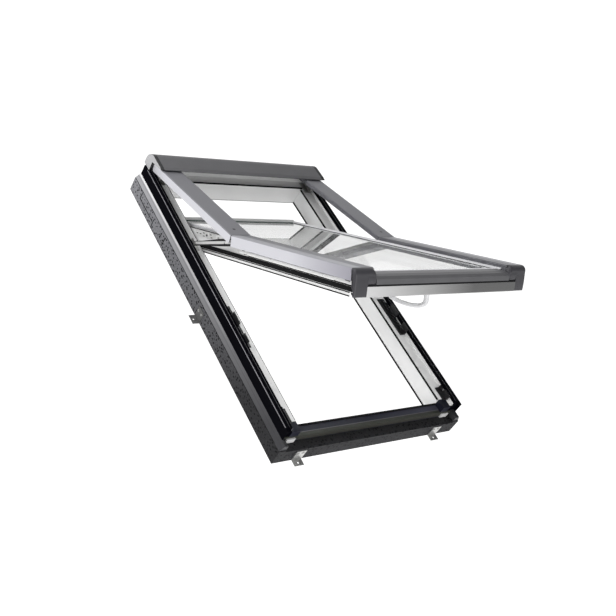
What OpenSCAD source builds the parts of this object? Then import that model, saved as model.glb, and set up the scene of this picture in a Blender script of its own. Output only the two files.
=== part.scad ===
// Roof window for a pitched roof: a fixed frame with insulation, two upper arms,
// a glazed sash that hangs between the arms, two slotted stays, a handle and lock rods.
// Roof coordinates inside the modules: x across, y up the slope, z outward from the roof.
// Moving pieces are drawn shut, then turned about their hinges into the open position.

/* [Frame] */
// Outer width across the jamb covers
frame_w = 740; // [720:1:760]
// Clear width between the jambs
clear_w = 612; // [610:1:616]
// Height of the head's inner face above the frame's middle
head_y = 526; // [524:1:530]
// Depth of the sill's inner face below the frame's middle
sill_y = -521; // [-523:1:-519]
// Depth of the plastic profiles below the gasket ledge
profile_depth = 75; // [65:1:85]
// Height of the jambs' outer covers above the gasket ledge
upstand_h = 20.6; // [18:0.1:21]
// Level of the sill's weathering surface, measured from the gasket ledge
sill_z = -24; // [-26:0.5:-23]

/* [Insulation] */
// Outer width of the foam block
foam_w = 763; // [755:1:775]
// Outer end of the foam block up and down the slope, from the middle
foam_end = 593; // [590:1:600]
// Level of the foam's room side
foam_z = -98; // [-110:1:-90]
// Level of the step in the lap joint
lap_z = -72; // [-80:1:-65]

/* [Hinges] */
// Height of the arm hinge above the frame's middle
hinge_y = 533.3; // [530:0.1:536]
// Height of the arm hinge and the sash pivot above the gasket ledge, shut
hinge_z = 33.6; // [33:0.1:34]
// Distance from the arm hinge to the sash pivot
arm_len = 516.5; // [510:0.5:522]
// Radius of every hinge and pivot pin
pin_r = 4; // [3.5:0.1:4.5]
// Running clearance round a pin
pin_gap = 0.05; // [0.02:0.01:0.1]

/* [Opening] */
// Angle of the arms above the frame
arm_open = 16.5; // [12:0.5:17]
// Angle of the sash above the arms, for each degree of the arms
sash_ratio = 1.166667; // [1.1:0.01:1.2]
// Pitch of the roof
pitch = 45; // [30:1:55]

/* [Sash] */
// Outer width of the side covers
cover_w = 707; // [704:1:708]
// Width of one side cover or arm cover
cover_strip = 77.7; // [70:0.1:80]
// Level of the side covers' top, shut
cover_z = 58.6; // [58:0.1:60]
// Height of the sash from its room side to the top of the covers
sash_h = 79; // [75:1:80]
// Outer width of the sash between the jambs
sash_w = 600; // [596:1:601]
// Width of one sash profile
rail_w = 46; // [40:1:50]

/* [Glass] */
// Thickness of one pane
pane_t = 4; // [3:0.5:4]
// Level of the inner pane's room side
unit_z = 12; // [10:0.5:14]

/* [Stays] */
// Height of the stay's frame pivot above the frame's middle
stay_y = 205; // [195:1:215]
// Level of the stay's frame pivot above the gasket ledge
stay_z = 14; // [13:0.5:18]
// Half width of the slot
slot_r = 4.6; // [4.5:0.1:5]

/* [Hidden] */
$fn = 48;

anthracite = [0.42, 0.42, 0.45];
dark_cap = [0.25, 0.25, 0.27];
white_plastic = [0.92, 0.92, 0.91];
black_rubber = [0.05, 0.05, 0.06];
foam_black = [0.12, 0.12, 0.13];
steel = [0.72, 0.72, 0.74];
silver = [0.8, 0.8, 0.8];
glass_green = [0.75, 0.87, 0.84, 0.5];

// Derived sizes of the frame
jamb_x = clear_w / 2;
frame_x = frame_w / 2;
sheet = 2;
profile_x = frame_x - sheet;
rebate_x = frame_x - 24;
body_x = frame_x - 14;
foam_x = foam_w / 2;
seat_z = -40;
collar_z = -18.6;
head_out = head_y + profile_x - jamb_x;
jamb_end = -553;
lip_out = sill_y - 38.5;
sill_out = lip_out + sheet;
lap_y = 515;
lap_len = 121;
seal_h = 3;
sill_foam_z = -46;
outer_end = -567;

// Derived sizes of the head cover
lip_y = 497;
lip_z = 76;
crown_y = 564;
crown_z = 78;
back_y = 603;
back_z = 4;
cap_x = cover_w / 2 + 0.6;

// Derived sizes of the arms and the sash
cover_x = cover_w / 2;
strip_x = cover_x - cover_strip;
pivot_y = hinge_y - arm_len;
joint_gap = 5.5;
sash_x = sash_w / 2;
sash_z = cover_z - sash_h;
sash_top = head_y - 8.4;
sash_end = -560;
glass_z = unit_z + 24.6;
rail_x = sash_x - rail_w;
rail_step = 10;
arm_wall = 29;
side_wall = 36;
flange_x = 335.5;
flange_top = -15;
flange_z = 8.5;
seal_top = 440;
nose_y = -575;
cap_seam = -556.6;
bar_x = 328;
bar_t = 4;
stay_x = 336;
plate_t = 4;
handle_x = 0;
handle_y = -503;
handle_z = -34;
lever_turn = -62;

// Where the origin lies: the middle of the sill's room-side face
seat_y = -foam_end + 15;

// Turns and places everything for a roof of the given pitch

module on_roof() rotate([pitch, 0, 0]) translate([0, -seat_y, -foam_z]) children();

module turn_about(y, z, angle)
    translate([0, y, z]) rotate([-angle, 0, 0]) translate([0, -y, -z]) children();

module in_arms() on_roof() turn_about(hinge_y, hinge_z, arm_open) children();

module in_sash() in_arms() turn_about(pivot_y, hinge_z, arm_open * sash_ratio) children();

// A piece drawn for the right side, put on the left when side is -1
module on_side(side) mirror([side < 0 ? 1 : 0, 0, 0]) children();

// A section in x and z, run up the slope from y0 to y1
module up_slope(y0, y1)
    translate([0, y1, 0]) rotate([90, 0, 0]) linear_extrude(y1 - y0) children();

// A section in y and z, run across from x0 to x1
module across(x0, x1)
    translate([x0, 0, 0]) rotate([90, 0, 90]) linear_extrude(x1 - x0) children();

// A box from its low corner to its high corner
module block(low, high) translate(low) cube(high - low);

// Keeps what lies on the jamb's side of the mitres through (x, top) and (x, -bottom)
module mitre_side(x, top, bottom, reach = 90)
    intersection() {
        children();
        translate([0, 0, -200]) linear_extrude(400) polygon([
            [x - reach, bottom + reach], [x + reach, bottom - reach],
            [x + reach, top + reach], [x - reach, top - reach],
        ]);
    }

// Keeps what lies above the mitre through (x, top), on both sides
module mitre_top(x, top, reach = 90)
    intersection() {
        children();
        translate([0, 0, -200]) linear_extrude(400) polygon([
            [-x - reach, top + reach], [x + reach, top + reach],
            [x - reach, top - reach], [-x + reach, top - reach],
        ]);
    }

// ---- Frame profiles ----

// Section of a jamb in x and z, from its inner face outward
module jamb_section() polygon([
    [jamb_x, -profile_depth + 4], [jamb_x, 0], [rebate_x + sheet, 0],
    [rebate_x + sheet, upstand_h - sheet], [profile_x, upstand_h - sheet],
    [profile_x, -22], [body_x, -22], [body_x, -profile_depth],
    [jamb_x + 4, -profile_depth], [jamb_x + 4, -profile_depth + 4],
]);

module frame_jamb(side) color(white_plastic) on_roof() on_side(side)
    difference() {
        mitre_side(jamb_x, head_y, -800) up_slope(jamb_end, 620) jamb_section();
        block([0, -620, -120], [400, sill_y, sill_z]);
    }

module frame_head() color(white_plastic) on_roof()
    mitre_top(jamb_x, head_y) across(-400, 400)
        translate([head_y - jamb_x, 0]) jamb_section();

module frame_sill() color(white_plastic) on_roof() across(-body_x, body_x) polygon([
    [sill_y, sill_z - sheet], [sill_y, -profile_depth + 4],
    [sill_y - 4, -profile_depth + 4], [sill_y - 4, -profile_depth],
    [sill_out, -profile_depth], [sill_out, sill_z - sheet],
]);

module insulation_side(side) color(foam_black) on_roof() on_side(side)
    difference() {
        block([body_x, -foam_end, foam_z], [foam_x, lap_y, seat_z]);
        block([0, lap_y - lap_len, foam_z - 1], [400, 600, lap_z]);
    }

module insulation_head() color(foam_black) on_roof()
    difference() {
        block([-foam_x, lap_y - lap_len, foam_z], [foam_x, foam_end, seat_z]);
        block([-body_x, -600, -120], [body_x, head_out - 12, 0]);
        for (side = [-1, 1]) on_side(side)
            block([body_x - 1, lap_y - lap_len - 1, lap_z], [foam_x + 1, lap_y, 0]);
    }

module insulation_sill() color(foam_black) on_roof()
    block([-body_x, -foam_end, foam_z], [body_x, sill_out, sill_foam_z]);

module collar(side) color(foam_black) on_roof() on_side(side)
    up_slope(-foam_end + 3, foam_end - 3) polygon([
        [body_x, seat_z], [foam_x, seat_z], [foam_x, seat_z + 2], [frame_x, collar_z],
        [profile_x, collar_z], [profile_x, -22], [body_x, -22],
    ]);

// The soft strips round the shut sash: on the jambs' inner faces, and on the ledges
// of the head and the sill
module ledge_seal() color(black_rubber) on_roof() {
    for (side = [-1, 1]) on_side(side)
        block([jamb_x - 2.4, sill_y + 1, -7], [jamb_x, head_y, -0.5]);
    block([-jamb_x - 6, head_y, 0], [jamb_x + 6, head_y + 6, seal_h]);
    block([-jamb_x, sill_y - 6, sill_z], [jamb_x, sill_y, sill_z + seal_h]);
}

// The thin strip round the room-side edge
module room_seal() color(black_rubber) on_roof() {
    low = -profile_depth;
    for (side = [-1, 1]) on_side(side)
        block([jamb_x - 0.5, sill_y, low], [jamb_x + 4, head_y + 4, low + 4]);
    block([-jamb_x + 0.5, head_y - 0.5, low], [jamb_x - 0.5, head_y + 4, low + 4]);
    block([-jamb_x + 0.5, sill_y - 4, low], [jamb_x - 0.5, sill_y + 0.5, low + 4]);
}

// The black cover of a jamb, with a plate that closes the jamb's lower end
module jamb_cover(side) color(black_rubber) on_roof() on_side(side) {
    up_slope(jamb_end - sheet, jamb_end) polygon([
        [jamb_x, sill_z], [jamb_x, 0], [rebate_x + 1, 0], [rebate_x + 1, upstand_h - 1],
        [profile_x + 1, upstand_h - 1], [profile_x + 1, collar_z + 1],
        [profile_x - 0.3, collar_z + 1], [profile_x - 0.3, -21.7],
        [body_x - 0.3, -21.7], [body_x - 0.3, sill_z],
    ]);
    difference() {
        up_slope(outer_end, foam_end - 6) polygon([
            [rebate_x, 12], [rebate_x, upstand_h], [frame_x, upstand_h],
            [frame_x, collar_z], [profile_x, collar_z], [profile_x, upstand_h - sheet],
            [rebate_x + sheet, upstand_h - sheet], [rebate_x + sheet, 12],
        ]);
        block([rebate_x - 1, outer_end - 1, 0], [cover_x + 2, jamb_end - sheet - 0.5, 30]);
        block([rebate_x - 1, head_y + 40, 0], [profile_x, 600, upstand_h - sheet]);
    }
}

module sill_cover() color(black_rubber) on_roof() across(-body_x, body_x) polygon([
    [sill_y, sill_z - sheet], [sill_y, sill_z], [lip_out + 1, sill_z],
    [lip_out, sill_z - 1], [lip_out, sill_foam_z], [sill_out, sill_foam_z],
    [sill_out, sill_z - sheet],
]);

// Light plugs that close the ends of the sill cover's lip
module sill_plugs() color(silver) on_roof() for (side = [-1, 1]) on_side(side)
    block([jamb_x + 6, lip_out - 5, sill_foam_z], [jamb_x + 38, lip_out, sill_z - 5]);

// ---- Head cover ----

// Section of the head cover in y and z, drawn smaller all round by inset
module head_outline(inset) {
    round_r = back_y - crown_y;
    round_z = crown_z - round_r;
    intersection() {
        union() {
            polygon([
                [lip_y + inset, lip_z - 20], [lip_y + inset, lip_z + 1 - inset],
                [lip_y + 14, crown_z + 1 - inset], [crown_y, crown_z - inset],
                [crown_y, back_z], [lip_y + 20, back_z],
            ]);
            translate([crown_y, round_z]) circle(round_r - inset, $fn = 96);
            translate([crown_y, back_z]) square([round_r - inset, round_z - back_z]);
        }
        translate([0, back_z]) square([700, 200]);
    }
}

module head_cover() color(anthracite) on_roof() across(-cap_x, cap_x)
    difference() {
        head_outline(0);
        head_outline(sheet);
        translate([lip_y - 5, back_z - 1]) square([crown_y - lip_y + 5, lip_z - back_z - 1]);
        translate([lip_y - 5, back_z - 1]) square([80, 20]);
    }

module head_cap(side) color(dark_cap) on_roof() on_side(side)
    across(cap_x, cap_x + 11) difference() {
        head_outline(0);
        polygon([[0, 0], [crown_y - 4, 0], [crown_y - 4, 57], [lip_y - 2, lip_z], [0, lip_z]]);
        translate([0, -1]) square([700, upstand_h + 1]);
    }

module head_clips() color(dark_cap) on_roof() for (x = [-240, 0, 240])
    block([x - 15, head_out - 18, upstand_h - sheet], [x + 15, head_out - 8, crown_z - 8]);

// ---- Hinges ----

module hinge_bracket(side) color(steel) on_roof() on_side(side) difference() {
    union() {
        block([315, 505, 0], [rebate_x - 1, 562, sheet]);
        block([bar_x + 8, 515, sheet], [bar_x + 12, 552, 44]);
    }
    translate([0, hinge_y, hinge_z]) rotate([0, 90, 0]) cylinder(r = pin_r, h = 400);
}

module hinge_pins() color(steel) on_roof() for (side = [-1, 1]) on_side(side)
    translate([bar_x - 5, hinge_y, hinge_z]) rotate([0, 90, 0]) {
        cylinder(r = pin_r, h = 17);
        cylinder(r = pin_r + 3, h = 3);
    }

module stay_brackets() color(steel) on_roof() for (side = [-1, 1]) on_side(side) {
    difference() {
        union() {
            block([318, stay_y - 22, 0], [rebate_x - 2, stay_y + 22, sheet]);
            block([stay_x + 5, stay_y - 12, sheet], [stay_x + 7.5, stay_y + 12, 28]);
        }
        translate([0, stay_y, stay_z]) rotate([0, 90, 0]) cylinder(r = pin_r, h = 400);
    }
    translate([stay_x - 3, stay_y, stay_z]) rotate([0, 90, 0]) {
        cylinder(r = pin_r, h = 10.5);
        cylinder(r = pin_r + 2.5, h = 2.5);
    }
}

module arm_cover(side) color(anthracite) in_arms() on_side(side)
    up_slope(pivot_y + joint_gap, crown_y - 8) polygon([
        [strip_x, cover_z - 16], [strip_x, cover_z - 3], [strip_x + 3, cover_z],
        [cover_x - 3, cover_z], [cover_x, cover_z - 3], [cover_x, cover_z - arm_wall],
        [cover_x - sheet, cover_z - arm_wall], [cover_x - sheet, cover_z - 4],
        [cover_x - 4, cover_z - sheet], [strip_x + 4, cover_z - sheet],
        [strip_x + sheet, cover_z - 4], [strip_x + sheet, cover_z - 16],
    ]);

module arm_bar(side) color(steel) in_arms() on_side(side) difference() {
    end_r = 13;
    across(bar_x, bar_x + bar_t) union() {
        translate([pivot_y, hinge_z]) circle(end_r);
        translate([hinge_y, hinge_z]) circle(end_r);
        translate([pivot_y, hinge_z - end_r]) square([arm_len, 2 * end_r]);
        translate([pivot_y + 60, hinge_z]) square([arm_len - 110, cover_z - sheet - hinge_z]);
    }
    for (y = [pivot_y, hinge_y]) translate([0, y, hinge_z]) rotate([0, 90, 0])
        cylinder(r = y == pivot_y ? pin_r : pin_r + pin_gap, h = 400);
}

module pivot_pins() color(steel) in_arms() for (side = [-1, 1]) on_side(side)
    translate([sash_x + 0.6, pivot_y, hinge_z]) rotate([0, 90, 0]) {
        cylinder(r = pin_r, h = stay_x + 8 - sash_x - 0.6);
        translate([0, 0, stay_x + 5 - sash_x - 0.6]) cylinder(r = pin_r + 3, h = 3);
    }

// ---- Stays ----

// Place of the sash pivot and turn of the stay when the arms stand at angle a
function pivot_at(a) = [hinge_y - arm_len * cos(a), hinge_z + arm_len * sin(a)];
function from_stay(a) = pivot_at(a) - [stay_y, stay_z];
function lean(a) = atan2(from_stay(a)[1], -from_stay(a)[0]);
stay_ratio = (lean(arm_open) - lean(0)) / arm_open;
function stay_turn(a) = lean(0) + stay_ratio * a;

// The pivot's path as the stay sees it: distance along the stay, height above its line
function slot_point(a) = let (q = from_stay(a), t = stay_turn(a))
    [-q[0] * cos(t) + q[1] * sin(t), q[0] * sin(t) + q[1] * cos(t)];
slot_steps = 24;
over_open = 1.5;
end_room = 5.4;
function beyond(p, q) = p + end_room * (p - q) / norm(p - q);
slot_mid = [for (i = [0 : slot_steps]) slot_point((arm_open + over_open) * i / slot_steps)];
slot_path = concat(
    [beyond(slot_mid[0], slot_mid[1])], slot_mid,
    [beyond(slot_mid[slot_steps], slot_mid[slot_steps - 1])]
);
function side_of(path, i, d) = let (
    a = path[max(i - 1, 0)], b = path[min(i + 1, len(path) - 1)], t = (b - a) / norm(b - a)
) path[i] + d * [-t[1], t[0]];
slot_line = concat(
    [for (i = [0 : len(slot_path) - 1]) side_of(slot_path, i, slot_r)],
    [for (i = [len(slot_path) - 1 : -1 : 0]) side_of(slot_path, i, -slot_r)]
);
stay_len = slot_path[len(slot_path) - 1][0] + 11;

// A slotted bar from the frame pivot, drawn lying down the slope and then turned up
module stay(side) color(steel) on_roof() on_side(side)
    translate([stay_x, stay_y, stay_z]) rotate([-stay_turn(arm_open), 0, 0])
        mirror([0, 1, 0]) difference() {
            across(0, bar_t) difference() {
                polygon([
                    [-8, -4], [-4, -8], [60, -8], [165, -10.5], [stay_len - 5, -10.5],
                    [stay_len, -6], [stay_len, 7], [stay_len - 6, 13.5], [165, 13.5],
                    [60, 8], [-4, 8], [-8, 4],
                ]);
                polygon(slot_line);
            }
            rotate([0, 90, 0]) translate([0, 0, -1]) cylinder(r = pin_r + pin_gap, h = bar_t + 2);
        }

// ---- Locking pieces on the frame ----

rail_base_h = 2.6;
post_x = stay_x + bar_t + 1;

module lock_rail(side) color(black_rubber) on_roof() on_side(side) {
    block([322, -237, 0], [rebate_x - 0.4, -67, rail_base_h]);
    block([post_x, -164, rail_base_h], [rebate_x - 0.4, -118, 34]);
    block([post_x, -237, rail_base_h], [rebate_x - 0.4, -203, 30]);
    block([post_x, -112, rail_base_h], [rebate_x - 0.4, -92, 12]);
}

module keeper(side) color(steel) on_roof() on_side(side) {
    block([322, -528, 0], [rebate_x, -475, rail_base_h]);
    block([flange_x + 2, -528, rail_base_h], [rebate_x, -498, 18]);
    block([flange_x + 2, -488, rail_base_h], [rebate_x, -475, 14]);
}

// ---- Roof brackets: bent sheet steel, one leg on the insulation and one foot outward ----

foot_hole_r = 3.25;
foot_hole_y = 14;
screw_r = 2.5;
leg_holes = [[-10, 32], [10, 32]];

module bent_bracket() difference() {
    union() {
        block([-18, 0, foam_z], [18, sheet, foam_z + 44]);
        block([-18, 0, foam_z], [18, 24, foam_z + sheet]);
    }
    translate([0, foot_hole_y, foam_z - 1]) cylinder(r = foot_hole_r, h = sheet + 2);
    for (p = leg_holes) translate([p[0], -1, foam_z + p[1]]) rotate([-90, 0, 0])
        cylinder(r = screw_r, h = sheet + 2);
}

// Round-headed screws through the legs of one bracket
module leg_screws() for (p = leg_holes) translate([p[0], 0, foam_z + p[1]]) rotate([-90, 0, 0]) {
    cylinder(r = screw_r, h = sheet + 1);
    translate([0, 0, sheet]) cylinder(r = 4.5, h = 2);
}

module at_side_bracket(side) on_side(side)
    translate([foam_x, -30, 0]) rotate([0, 0, -90]) children();

module at_sill_brackets() for (x = [-290, 290])
    translate([x, -foam_end, 0]) rotate([0, 0, 180]) children();

module at_head_brackets() for (x = [-250, 250]) translate([x, foam_end, 0]) children();

module roof_bracket(side) color(steel) on_roof() at_side_bracket(side) bent_bracket();

module roof_brackets_sill() color(steel) on_roof() at_sill_brackets() bent_bracket();

module roof_brackets_head() color(steel) on_roof() at_head_brackets() bent_bracket();

module bracket_screws() color(steel) on_roof() {
    at_side_bracket(-1) leg_screws();
    at_side_bracket(1) leg_screws();
    at_sill_brackets() leg_screws();
    at_head_brackets() leg_screws();
}

// ---- Sash ----

// Section of a sash profile in x and z, with the step that the glass unit sits in
module rail_section() polygon([
    [rail_x, sash_z], [sash_x, sash_z], [sash_x, glass_z], [rail_x + rail_step, glass_z],
    [rail_x + rail_step, unit_z], [rail_x, unit_z],
]);

module sash_stile(side) color(white_plastic) in_sash() on_side(side) {
    mitre_side(rail_x, sash_top - rail_w, sash_end + rail_w) up_slope(-640, 600) rail_section();
    block([sash_x, sash_end + 4, flange_z], [flange_x, flange_top, 22]);
}

module sash_top_rail() color(white_plastic) in_sash()
    mitre_top(rail_x, sash_top - rail_w) across(-400, 400)
        translate([sash_top - sash_x, 0]) rail_section();

module sash_bottom_rail() color(white_plastic) in_sash() mirror([0, 1, 0])
    mitre_top(rail_x, -sash_end - rail_w) across(-400, 400)
        translate([-sash_end - sash_x, 0]) rail_section();

unit_x = rail_x + rail_step - 1;
unit_top = sash_top - rail_w + rail_step - 1;
unit_end = sash_end + rail_w - rail_step + 1;

module outer_pane() color(glass_green) in_sash()
    block([-sash_x + 2, -541, glass_z], [sash_x - 2, sash_top - 1.6, glass_z + pane_t]);

module inner_pane() color(glass_green) in_sash()
    block([-unit_x, unit_end, unit_z], [unit_x, unit_top, unit_z + pane_t]);

module pane_spacer() color(silver) in_sash() difference() {
    block([-unit_x, unit_end, unit_z + pane_t], [unit_x, unit_top, glass_z]);
    block([-unit_x + 12, unit_end + 12, 0], [unit_x - 12, unit_top - 12, 60]);
}

module glazing_seal() color(black_rubber) in_sash() difference() {
    block([-rail_x, sash_end + rail_w, unit_z - 5], [rail_x, sash_top - rail_w, unit_z]);
    block([-rail_x + 3, sash_end + rail_w + 3, 0], [rail_x - 3, sash_top - rail_w - 3, 60]);
}

// Black strips along the sash's sides: one under each flange, and two on each stile, of
// which the lower one runs on past the pivot
module sash_seals() color(black_rubber) in_sash() for (side = [-1, 1]) on_side(side) {
    block([sash_x + 8, sash_end + 8, 3.4], [sash_x + 20, flange_top - 2, flange_z]);
    block([sash_x, sash_end + 4, -18], [sash_x + 2.5, seal_top, -5]);
    block([sash_x, sash_end + 4, -3], [sash_x + 2.5, flange_top, flange_z]);
}

module top_rail_cover() color(silver) in_sash() across(-strip_x + 6, strip_x - 6) polygon([
    [sash_top - 22, glass_z + pane_t], [sash_top - 20, glass_z + 15],
    [sash_top - 2, glass_z + 15], [sash_top, glass_z + 13], [sash_top, glass_z + pane_t],
]);

module side_cover(side) color(anthracite) in_sash() on_side(side)
    up_slope(cap_seam, pivot_y - joint_gap) polygon([
        [strip_x, glass_z + pane_t + 0.4], [strip_x, cover_z - 3], [strip_x + 3, cover_z],
        [cover_x - 3, cover_z], [cover_x, cover_z - 3], [cover_x, cover_z - side_wall],
        [cover_x - sheet, cover_z - side_wall], [cover_x - sheet, cover_z - 4],
        [cover_x - 4, cover_z - sheet], [strip_x + 4, cover_z - sheet],
        [strip_x + sheet, cover_z - 4], [strip_x + sheet, glass_z + pane_t + 0.4],
    ]);

module front_cover() color(anthracite) in_sash() across(-strip_x, strip_x) polygon([
    [-524, 41], [-524, 43], [-540, 42.8], [-556, 40.6], [-567, 36], [-573, 28], [nose_y, 14],
    [nose_y + 2, 14], [-571, 27.3], [-565.6, 34.4], [-555.5, 38.6], [-542, 40.8],
]);

module front_strip() color(silver) in_sash() across(-308, 308) polygon([
    [nose_y, 9], [nose_y, -18], [nose_y + 3, sash_z], [sash_end, sash_z],
    [sash_end, sash_z + 2], [nose_y + 4, sash_z + 2], [nose_y + 2, -16.5], [nose_y + 2, 9],
]);

module front_cap(side) color(dark_cap) in_sash() on_side(side) intersection() {
    up_slope(-590, -540) polygon([
        [strip_x, 14], [strip_x, cover_z - 12], [strip_x + 4, cover_z - 4],
        [strip_x + 12, cover_z], [cover_x - 5, cover_z], [cover_x, cover_z - 5],
        [cover_x, sash_z + 3], [cover_x - 3, sash_z], [308, sash_z], [308, 14],
    ]);
    across(250, 400) polygon([
        [cap_seam, cover_z], [cap_seam - 5, cover_z], [-570, 52], [-575.5, 40],
        [-577, 25], [-577, -14], [-573, sash_z], [-568, sash_z], [-568, -4],
        [sash_end, 8], [sash_end, glass_z], [cap_seam, glass_z],
    ]);
}

// Plates on the stiles that carry the sash on the pivot pins
module pivot_plates() color(steel) in_sash() for (side = [-1, 1]) on_side(side) difference() {
    block([sash_x, pivot_y - 22, hinge_z - 14], [sash_x + plate_t, pivot_y + 46, hinge_z + 7]);
    translate([0, pivot_y, hinge_z]) rotate([0, 90, 0])
        cylinder(r = pin_r + pin_gap, h = 400);
}

// Flat rods on the outer side of the flanges, each with two locking studs
module lock_rods() color(steel) in_sash() for (side = [-1, 1]) on_side(side) {
    block([flange_x + 0.3, -470, 8], [flange_x + 2.7, -60, 18]);
    for (y = [-420, -180]) translate([flange_x + 2.7, y, 13]) rotate([0, 90, 0])
        cylinder(r = 4, h = 2);
}

// Handle base fixed to the inner side of the bottom rail, and the turning lever
module handle_base() color(white_plastic) in_sash()
    block([-38, sash_end + rail_w, handle_z], [38, sash_end + rail_w + 22, 6]);

module handle() color(white_plastic) in_sash() translate([handle_x, handle_y, 0])
    rotate([0, 0, lever_turn]) {
    neck_r = 8;
    drop = 34;
    translate([0, 0, handle_z - drop]) cylinder(r = neck_r, h = drop - 0.2);
    hull() {
        translate([0, 0, handle_z - drop]) sphere(neck_r, $fn = 24);
        translate([-60, 0, handle_z - drop - 8]) scale([1, 1, 0.7]) sphere(9, $fn = 24);
    }
    hull() {
        translate([-60, 0, handle_z - drop - 8]) scale([1, 1, 0.7]) sphere(9, $fn = 24);
        translate([-112, 0, handle_z - drop + 4]) scale([1, 1, 0.7]) sphere(7, $fn = 24);
    }
}

frame_head();
frame_sill();
frame_jamb(-1);  // frame_jamb_left
frame_jamb(1);  // frame_jamb_right
insulation_head();
insulation_sill();
insulation_side(-1);  // insulation_left
insulation_side(1);  // insulation_right
collar(-1);  // collar_left
collar(1);  // collar_right
ledge_seal();
room_seal();
jamb_cover(-1);  // jamb_cover_left
jamb_cover(1);  // jamb_cover_right
sill_cover();
sill_plugs();
head_cover();
head_cap(-1);  // head_cap_left
head_cap(1);  // head_cap_right
head_clips();
hinge_bracket(-1);  // hinge_bracket_left
hinge_bracket(1);  // hinge_bracket_right
hinge_pins();
stay_brackets();
bracket_screws();
lock_rail(-1);  // lock_rail_left
lock_rail(1);  // lock_rail_right
keeper(-1);  // keeper_left
keeper(1);  // keeper_right
roof_bracket(-1);  // roof_bracket_left
roof_bracket(1);  // roof_bracket_right
roof_brackets_sill();
roof_brackets_head();
arm_cover(-1);  // arm_cover_left
arm_cover(1);  // arm_cover_right
arm_bar(-1);  // arm_bar_left
arm_bar(1);  // arm_bar_right
pivot_pins();
stay(-1);  // stay_left
stay(1);  // stay_right
sash_top_rail();
sash_bottom_rail();
sash_stile(-1);  // sash_stile_left
sash_stile(1);  // sash_stile_right
outer_pane();
inner_pane();
pane_spacer();
glazing_seal();
sash_seals();
top_rail_cover();
side_cover(-1);  // side_cover_left
side_cover(1);  // side_cover_right
front_cover();
front_strip();
front_cap(-1);  // front_cap_left
front_cap(1);  // front_cap_right
pivot_plates();
lock_rods();
handle_base();
handle();
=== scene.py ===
import bpy
import math
import numpy as np
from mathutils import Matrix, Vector


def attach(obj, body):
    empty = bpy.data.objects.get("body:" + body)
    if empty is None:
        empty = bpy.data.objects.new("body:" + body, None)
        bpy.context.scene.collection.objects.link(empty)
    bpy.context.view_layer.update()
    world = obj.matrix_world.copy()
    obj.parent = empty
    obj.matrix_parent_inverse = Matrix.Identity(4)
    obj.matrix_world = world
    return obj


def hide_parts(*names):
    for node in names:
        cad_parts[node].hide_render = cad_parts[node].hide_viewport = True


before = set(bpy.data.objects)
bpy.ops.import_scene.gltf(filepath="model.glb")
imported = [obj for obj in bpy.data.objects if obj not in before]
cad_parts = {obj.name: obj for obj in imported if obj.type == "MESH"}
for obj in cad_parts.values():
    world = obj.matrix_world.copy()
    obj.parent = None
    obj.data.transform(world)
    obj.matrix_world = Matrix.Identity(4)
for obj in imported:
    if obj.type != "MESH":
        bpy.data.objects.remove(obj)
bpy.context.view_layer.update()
bpy.context.scene.view_settings.view_transform = "Standard"

# ---- Camera ----
# Stands a little above the sill, to the left of the window's outside, and looks along
# the opening sash with a slightly long lens.
lens_length, sensor_width = 53.06, 36.0
tilt_down, turn_right = 3.665, 38.971
camera_data = bpy.data.cameras.new("camera")
camera_data.lens, camera_data.sensor_width = lens_length, sensor_width
camera = bpy.data.objects.new("camera", camera_data)
camera.location = (-1.9389, -2.1069, 0.6111)
camera.rotation_euler = (math.radians(90 - tilt_down), 0.0, math.radians(-turn_right))
bpy.context.collection.objects.link(camera)
bpy.context.scene.camera = camera

# ---- Studio ----
# A pale floor below the window, and soft boxes to the left, above, and low in front. The
# white surround lights most from the back right, and is full white wherever it is seen.
floor_reach, floor_height, floor_glow = 9.0, -0.9, 0.78
bright_way, dim_from, full_from = (0.61, 0.77, 0.20), 0.40, 0.92
dim_level, full_level, seen_level = 0.24, 1.0, 1.16


def plain_material(name, colour, roughness, metallic=0.0, gloss=0.5):
    """A Principled material with its constants set, and a node named place that gives
    the object's own coordinates. Returns the material, its tree and its shader."""
    made = bpy.data.materials.new(name)
    made.use_nodes = True
    tree = made.node_tree
    shader = tree.nodes["Principled BSDF"]
    shader.inputs["Base Color"].default_value = (*colour, 1)
    shader.inputs["Roughness"].default_value = roughness
    shader.inputs["Metallic"].default_value = metallic
    shader.inputs["Specular IOR Level"].default_value = gloss
    tree.nodes.new("ShaderNodeTexCoord").name = "place"
    return made, tree, shader


def spread(tree, value, low, high, start=0.0, end=1.0):
    """Runs from start, where the value is low, straight to end, where it is high."""
    node = tree.nodes.new("ShaderNodeMapRange")
    for name, number in (("From Min", low), ("From Max", high),
                         ("To Min", start), ("To Max", end)):
        node.inputs[name].default_value = number
    tree.links.new(value, node.inputs["Value"])
    return node.outputs["Result"]


def soft_box(name, place, target, size, power):
    """A square area light of the given size at place, turned to face target."""
    data = bpy.data.lights.new(name, "AREA")
    data.size, data.energy = size, power
    light = bpy.data.objects.new(name, data)
    light.location = place
    light.rotation_euler = (Vector(target) - Vector(place)).to_track_quat("-Z", "Y").to_euler()
    bpy.context.collection.objects.link(light)


floor_mesh = bpy.data.meshes.new("studio_floor")
floor_mesh.from_pydata([(x * floor_reach, y * floor_reach, floor_height)
                        for x, y in ((-1, -1), (1, -1), (1, 1), (-1, 1))],
                       [], [(0, 1, 2, 3)])
floor = bpy.data.objects.new("studio_floor", floor_mesh)
bpy.context.collection.objects.link(floor)
pale_floor, _, floor_shader = plain_material("pale_floor", (0.9, 0.9, 0.9), 0.9, gloss=0.0)
floor_shader.inputs["Emission Color"].default_value = (1, 1, 1, 1)
floor_shader.inputs["Emission Strength"].default_value = floor_glow
floor_mesh.materials.append(pale_floor)

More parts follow.
